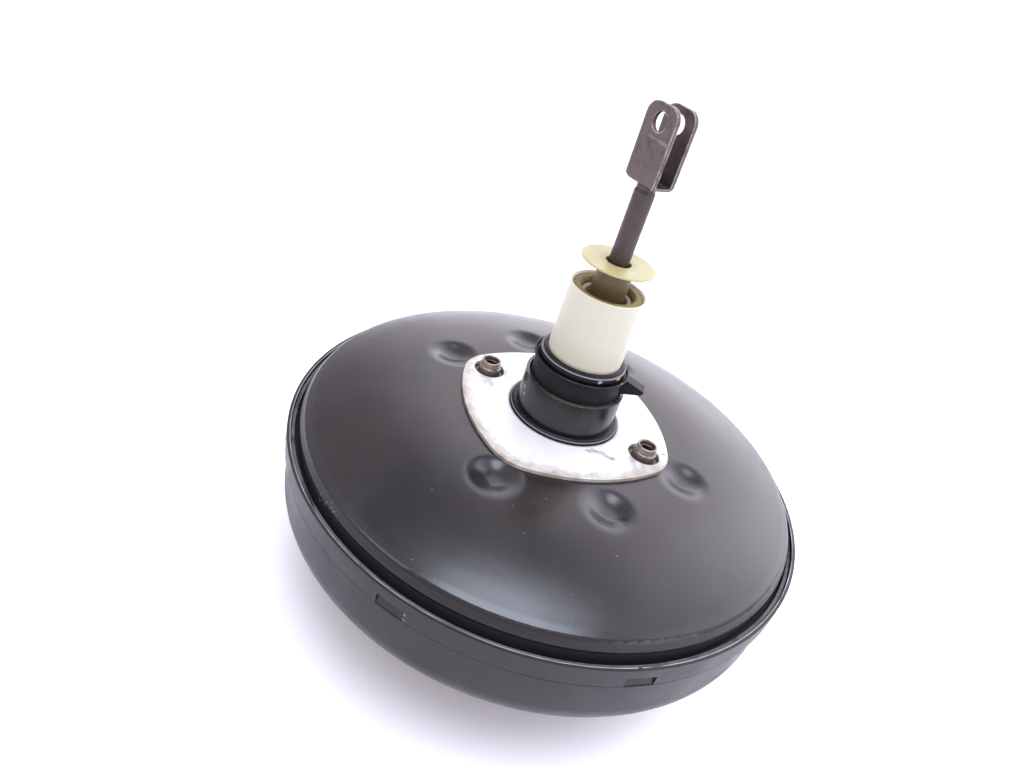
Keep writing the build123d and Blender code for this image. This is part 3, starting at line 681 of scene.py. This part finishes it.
sealValues = {
    "dark": (0.004, 0.0022, 0.0034, 1), "bloom": (0.008, 0.005, 0.007, 1), "dust": (0.15, 0.13, 0.12, 1),
    "edge": (0.09, 0.085, 0.1, 1), "speckShare": 0.06, "film": 0.006, "edgeAmount": 0.5,
    "roughness": (0.38, 0.52), "specular": 0.3, "highlightRings": (),
    "marks": (((23.9, -5.6, 34.8), (24.6, -3.6, 33.8), 0.6, (0.5, 0.55, 0.12, 1)),),
}
neckRingValues = {
    "dark": (0.003, 0.003, 0.004, 1), "bloom": (0.007, 0.007, 0.008, 1), "dust": (0.15, 0.14, 0.13, 1),
    "edge": (0.2, 0.2, 0.22, 1), "speckShare": 0.02, "film": 0.004, "edgeAmount": 0.15,
    "roughness": (0.34, 0.46), "specular": 0.25, "highlightRings": ((29.5, 0.9),), "marks": (),
}
bearingValues = {
    "dark": (0.004, 0.0035, 0.005, 1), "bloom": (0.012, 0.011, 0.013, 1), "dust": (0.28, 0.25, 0.22, 1),
    "edge": (0.32, 0.33, 0.36, 1), "speckShare": 0.16, "film": 0.008, "edgeAmount": 0.35,
    "roughness": (0.3, 0.42), "specular": 0.4, "highlightRings": ((22.5, 35.7), (21.5, 35.7)),
    "marks": (((22.6, -5.4, 34.9), (22.8, -3.9, 34.4), 0.6, (0.5, 0.55, 0.12, 1)),
              ((16.5, -15.8, 34.2), (17.6, -14.8, 34.4), 0.3, (0.4, 0.42, 0.46, 1))),
}
valveValues = {
    "dark": (0.016, 0.016, 0.019, 1), "bloom": (0.028, 0.028, 0.032, 1), "dust": (0.2, 0.19, 0.18, 1),
    "edge": (0.12, 0.12, 0.13, 1), "speckShare": 0.03, "film": 0.02, "edgeAmount": 0.4,
    "roughness": (0.36, 0.46), "specular": 0.5, "highlightRings": (), "marks": (),
}


ivoryValues = {
    "ivory": (0.54, 0.53, 0.41, 1), "ivoryPale": (0.6, 0.59, 0.47, 1), "soiled": (0.24, 0.19, 0.11, 1),
    "grey": (0.33, 0.31, 0.27, 1), "roughness": (0.3, 0.42),
    "footLevel": 36.5, "soiledTo": 52.0, "ringLevel": 37.0,
}


def ivoryPlastic(tree, shader, values=ivoryValues):
    places = useGroup(tree, "axisPlaces")
    tone = useGroup(tree, "grain", Scale=30.0, Detail=4.0, Low=0.0, High=1.0)["Value"]
    colour = mixColours(tree, tone, values["ivory"], values["ivoryPale"])
    # the foot of the tube is soiled where it slides out of the seal
    near = fadeBetween(tree, places["Height"], values["soiledTo"], values["footLevel"])
    patches = useGroup(tree, "blotches", Scale=85.0, Cover=0.5, Edge=0.3)["Mask"]
    soiled = calculate(tree, "MULTIPLY", near, calculate(tree, "ADD", scaled(tree, patches, 0.5), 0.2))
    band = useGroup(tree, "band", Value=places["Height"], Centre=values["ringLevel"],
                    Half=0.8, Softness=1.2)["Mask"]
    soiled = larger(tree, soiled, scaled(tree, band, 0.5))
    colour = mixColours(tree, soiled, colour, values["soiled"])
    specks = useGroup(tree, "specks", Scale=800.0, Share=0.05, Size=0.35)["Mask"]
    colour = mixColours(tree, scaled(tree, specks, 0.3), colour, values["grey"])
    streaks = useGroup(tree, "blotches", Scale=40.0, Cover=0.38, Edge=0.25)["Mask"]
    colour = mixColours(tree, scaled(tree, streaks, 0.12), colour, values["grey"])
    rough = roughGrain(tree, values, 180.0, 4.0)
    turning = useGroup(tree, "grain", Scale=900.0, Detail=2.0, Low=0.0, High=1.0)["Value"]
    setShader(shader, Subsurface_Weight=0.12, Subsurface_Scale=0.002)
    shader.inputs["Subsurface Radius"].default_value = (1.0, 0.8, 0.5)
    linkShader(tree, shader, Base_Color=colour, Roughness=rough, Normal=bump(tree, turning, 0.00002, 0.4))


creamValues = {
    "cream": (0.4, 0.385, 0.2, 1), "warm": (0.34, 0.26, 0.1, 1), "soiled": (0.06, 0.032, 0.006, 1),
    "flangeLevel": 86.5, "sleeveJoin": 7.6, "roughness": (0.32, 0.45),
}


def creamPlastic(tree, shader, values=creamValues):
    places = useGroup(tree, "axisPlaces")
    tone = useGroup(tree, "grain", Scale=55.0, Detail=4.0, Low=0.0, High=1.0)["Value"]
    colour = mixColours(tree, scaled(tree, tone, 0.35), values["cream"], values["warm"])
    # a warmer ring where the flange joins the sleeve, and the sleeve below the flange darkened brown as
    # painted shade
    ring = useGroup(tree, "band", Value=places["Radius"], Centre=values["sleeveJoin"],
                    Half=1.3, Softness=1.2)["Mask"]
    colour = mixColours(tree, scaled(tree, ring, 0.35), colour, values["warm"])
    sleeve = fadeBetween(tree, places["Height"], values["flangeLevel"], values["flangeLevel"] - 2.0)
    # the soiled colour here stands for painted shade
    colour = mixColours(tree, scaled(tree, sleeve, 0.85), colour, values["soiled"])
    patches = useGroup(tree, "blotches", Scale=160.0, Cover=0.42, Edge=0.2)["Mask"]
    colour = mixColours(tree, scaled(tree, patches, 0.25), colour, values["warm"])
    rough = roughGrain(tree, values, 220.0, 4.0)
    grain = useGroup(tree, "grain", Scale=1200.0, Detail=2.0, Low=0.0, High=1.0)["Value"]
    setShader(shader, Subsurface_Weight=0.35, Subsurface_Scale=0.003, Specular_IOR_Level=0.35)
    shader.inputs["Subsurface Radius"].default_value = (1.0, 0.75, 0.35)
    linkShader(tree, shader, Base_Color=colour, Roughness=rough, Normal=bump(tree, grain, 0.00002, 0.4))


feltValues = {"felt": (0.75, 0.64, 0.58, 1), "shade": (0.45, 0.35, 0.3, 1), "fibreScale": 1300.0}


def filterFelt(tree, shader, values=feltValues):
    place = objectPlace(tree)
    inputs = {
        "Vector": place, "Scale": values["fibreScale"], "Detail": 4.0, "Roughness": 0.7, "Distortion": 2.5,
    }
    fibres = addNode(tree, "ShaderNodeTexNoise", inputs).outputs[0]
    patches = useGroup(tree, "blotches", Scale=240.0, Cover=0.5, Edge=0.25)["Mask"]
    colour = mixColours(tree, fibres, values["shade"], values["felt"])
    colour = mixColours(tree, scaled(tree, patches, 0.4), colour, values["shade"])
    setShader(shader, Roughness=0.9, Sheen_Weight=0.3, Sheen_Roughness=0.5)
    linkShader(tree, shader, Base_Color=colour, Normal=bump(tree, fibres, 0.0003, 0.8))


foamValues = {"foam": (0.25, 0.2, 0.055, 1), "shade": (0.1, 0.074, 0.018, 1), "poreScale": 1100.0}


def filterFoam(tree, shader, values=foamValues):
    place = objectPlace(tree)
    cells = addNode(tree, "ShaderNodeTexVoronoi", {"Vector": place, "Scale": values["poreScale"]})
    pores = cells.outputs["Distance"]
    tone = useGroup(tree, "grain", Scale=120.0, Detail=4.0, Low=0.0, High=1.0)["Value"]
    pore = fadeBetween(tree, pores, 0.1, 0.5)
    colour = mixColours(tree, pore, values["shade"], values["foam"])
    colour = mixColours(tree, scaled(tree, tone, 0.4), colour, values["shade"])
    setShader(shader, Roughness=0.62)
    linkShader(tree, shader, Base_Color=colour, Normal=bump(tree, pores, 0.0002, 0.7))


finishes = {
    "shell_dome_paint": domePaint,
    "shell_side_paint": sidePaint,
    "bare_plate": platedMetal,
    "insert_steel": agedSteel(insertValues),
    "neck_rubber": mouldedRubber(neckRingValues),
    "seal_rubber": mouldedRubber(sealValues),
    "bearing_plastic": mouldedRubber(bearingValues),
    "inner_steel": agedSteel(innerValues),
    "zinc_steel": agedSteel(zincValues),
    "valve_plastic": mouldedRubber(valveValues),
    "spring_steel": agedSteel(springValues),
    "ivory_plastic": ivoryPlastic,
    "rod_steel": agedSteel(rodValues),
    "filter_felt": filterFelt,
    "filter_foam": filterFoam,
    "clevis_steel": agedSteel(clevisValues),
    "cream_plastic": creamPlastic,
}


def finishNodes():
    materials = {}
    for slot, finish in finishes.items():
        material, tree, shader = newMaterial(slot)
        finish(tree, shader)
        materials[slot] = material
    for part in frame["record"]["subparts"]:
        mesh = nodes[part["node"]].data
        mesh.materials.clear()
        mesh.materials.append(materials[part["material_slot"]])
    return materials


# turned pieces with threads and knurls

def evenProfile(corners, rounding, spacing):
    # every corner of the (radius, height) outline becomes a short curve between two cut points,
    # (1-t)^2 first + 2t(1-t) corner + t^2 last, and the whole is then spaced evenly along its length
    corners = np.array(corners, dtype=float)
    towardsBack = np.roll(corners, 1, axis=0) - corners
    towardsNext = np.roll(corners, -1, axis=0) - corners
    backLength = np.linalg.norm(towardsBack, axis=1, keepdims=True)
    nextLength = np.linalg.norm(towardsNext, axis=1, keepdims=True)
    cut = np.minimum(rounding, 0.45 * np.minimum(backLength, nextLength))
    first = (corners + towardsBack / backLength * cut)[:, None, :]
    last = (corners + towardsNext / nextLength * cut)[:, None, :]
    t = np.linspace(0, 1, 5)[None, :, None]
    curve = (1 - t) ** 2 * first + 2 * t * (1 - t) * corners[:, None, :] + t ** 2 * last
    line = curve.reshape(-1, 2)
    closed = np.vstack((line, line[:1]))
    along = np.concatenate(([0], np.cumsum(np.linalg.norm(np.diff(closed, axis=0), axis=1))))
    steps = np.linspace(0, along[-1], int(along[-1] / spacing), endpoint=False)
    return np.interp(steps, along, closed[:, 0]), np.interp(steps, along, closed[:, 1])


def saw(turns):
    # rises from 0 to 1 and falls back once in every turn
    return 1 - np.abs(2 * (turns - np.floor(turns)) - 1)


def between(value, low, high, fade):
    return np.clip((value - low) / fade, 0, 1) * np.clip((high - value) / fade, 0, 1)


weldDistance = 1e-6                      # in metres
flatDistance = 1e-7
sharpAngle = 40                          # in degrees


def turnedPair(name, radii, heights, offset, body, node, slot):
    # radii and heights are grids in millimetres, one row along the profile and one column round the axis;
    # the grid wraps both ways, and the same turned shape stands at +offset and -offset on X
    rows, columns = radii.shape
    angle = np.linspace(0, 2 * np.pi, columns, endpoint=False)[None, :]
    across, deep = radii * np.cos(angle), radii * np.sin(angle)
    points = np.stack((across, deep, heights), axis=-1)
    pair = np.stack((points + (offset, 0, 0), points - (offset, 0, 0))) * mm
    index = np.arange(2 * rows * columns).reshape(2, rows, columns)
    ahead, right = np.roll(index, -1, axis=1), np.roll(index, -1, axis=2)
    corner = np.roll(ahead, -1, axis=2)
    quads = np.stack((index, right, corner, ahead), axis=-1).reshape(-1, 4)
    mesh = bpy.data.meshes.new(name)
    mesh.from_pydata(pair.reshape(-1, 3).tolist(), [], quads.tolist())
    shape = bmesh.new()
    shape.from_mesh(mesh)
    bmesh.ops.remove_doubles(shape, verts=shape.verts, dist=weldDistance)
    bmesh.ops.dissolve_degenerate(shape, dist=flatDistance, edges=shape.edges)
    bmesh.ops.recalc_face_normals(shape, faces=shape.faces)
    shape.to_mesh(mesh)
    shape.free()
    mesh.shade_smooth()
    mesh.set_sharp_from_angle(angle=np.radians(sharpAngle))
    piece = bpy.data.objects.new(name, mesh)
    scene.collection.objects.link(piece)
    mesh.materials.append(materials[slot])
    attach(piece, body)
    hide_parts(node)


knurledInsert = {
    "offset": boltOffset,
    "corners": [(3.4, -6.6), (8.2, -6.6), (8.2, -3.4), (6.15, -3.4), (6.15, 2.2), (5.5, 2.7),
                (5.2, 5.7), (5.0, 6.0), (4.35, 6.0), (4.05, 5.6), (3.95, 3.4), (3.4, 2.9)],
    "rounding": 0.35, "spacing": 0.17, "columns": 144,
    "teeth": 36, "toothDepth": 0.2, "toothLow": -1.6, "toothHigh": 2.1, "barrelAbove": 5.8,
    "pitch": 1.25, "threadDepth": 0.55, "threadLow": -6.4, "threadHigh": 2.9, "boreBelow": 3.5,
}


def makeInserts(values):
    radius, height = evenProfile(values["corners"], values["rounding"], values["spacing"])
    radii, heights = radius[:, None], height[:, None]
    turn = np.linspace(0, 1, values["columns"], endpoint=False)[None, :]
    # straight knurl on the barrel: the radius drops by one saw tooth, many times round
    barrel = between(heights, values["toothLow"], values["toothHigh"], 0.4) * (radii > values["barrelAbove"])
    knurl = values["toothDepth"] * saw(turn * values["teeth"]) * barrel
    # thread in the bore: the radius grows by one saw tooth for each pitch of height, turning with the angle
    bore = between(heights, values["threadLow"], values["threadHigh"], 0.5) * (radii < values["boreBelow"])
    thread = values["threadDepth"] * saw(heights / values["pitch"] - turn) * bore
    turnedPair("knurledInserts", radii - knurl + thread, heights + 0 * turn, values["offset"],
               "housing", "threaded_inserts", "insert_steel")


threadedStud = {
    "offset": 40.0,
    "corners": [(0.0, -126.0), (2.6, -126.0), (4.0, -124.6), (4.0, -105.6), (3.3, -105.2), (3.3, -103.9),
                (5.0, -103.9), (5.0, -100.2), (7.0, -100.2), (7.0, -96.6), (0.0, -96.6)],
    "rounding": 0.3, "spacing": 0.2, "columns": 72,
    "pitch": 1.25, "threadDepth": 0.65, "threadLow": -125.6, "threadHigh": -105.9, "shankAbove": 3.0,
}


def makeStuds(values):
    radius, height = evenProfile(values["corners"], values["rounding"], values["spacing"])
    radii, heights = radius[:, None], height[:, None]
    turn = np.linspace(0, 1, values["columns"], endpoint=False)[None, :]
    # the thread drops the radius by one saw tooth for each pitch of height, turning with the angle
    shank = between(heights, values["threadLow"], values["threadHigh"], 0.6) * (radii > values["shankAbove"])
    thread = values["threadDepth"] * saw(heights / values["pitch"] - turn) * shank
    turnedPair("threadedStuds", radii - thread, heights + 0 * turn, values["offset"],
               "housing", "master_cylinder_studs", "zinc_steel")


print("camera and light")
makeCamera(cameraValues)
makeSky(skyValues)
makeFloor(floorValues)
for lampName, lamp in lampValues.items():
    makeLamp(lampName, lamp)

print("finishes")
for makeEffect in (makeAxisPlaces, makeBand, makeGrain, makeBlotches, makeSpecks, makeDust, makeWornEdges,
                   makeStroke, makePressedDents):
    makeEffect()
materials = finishNodes()

print("inserts and studs")
makeInserts(knurledInsert)
makeStuds(threadedStud)
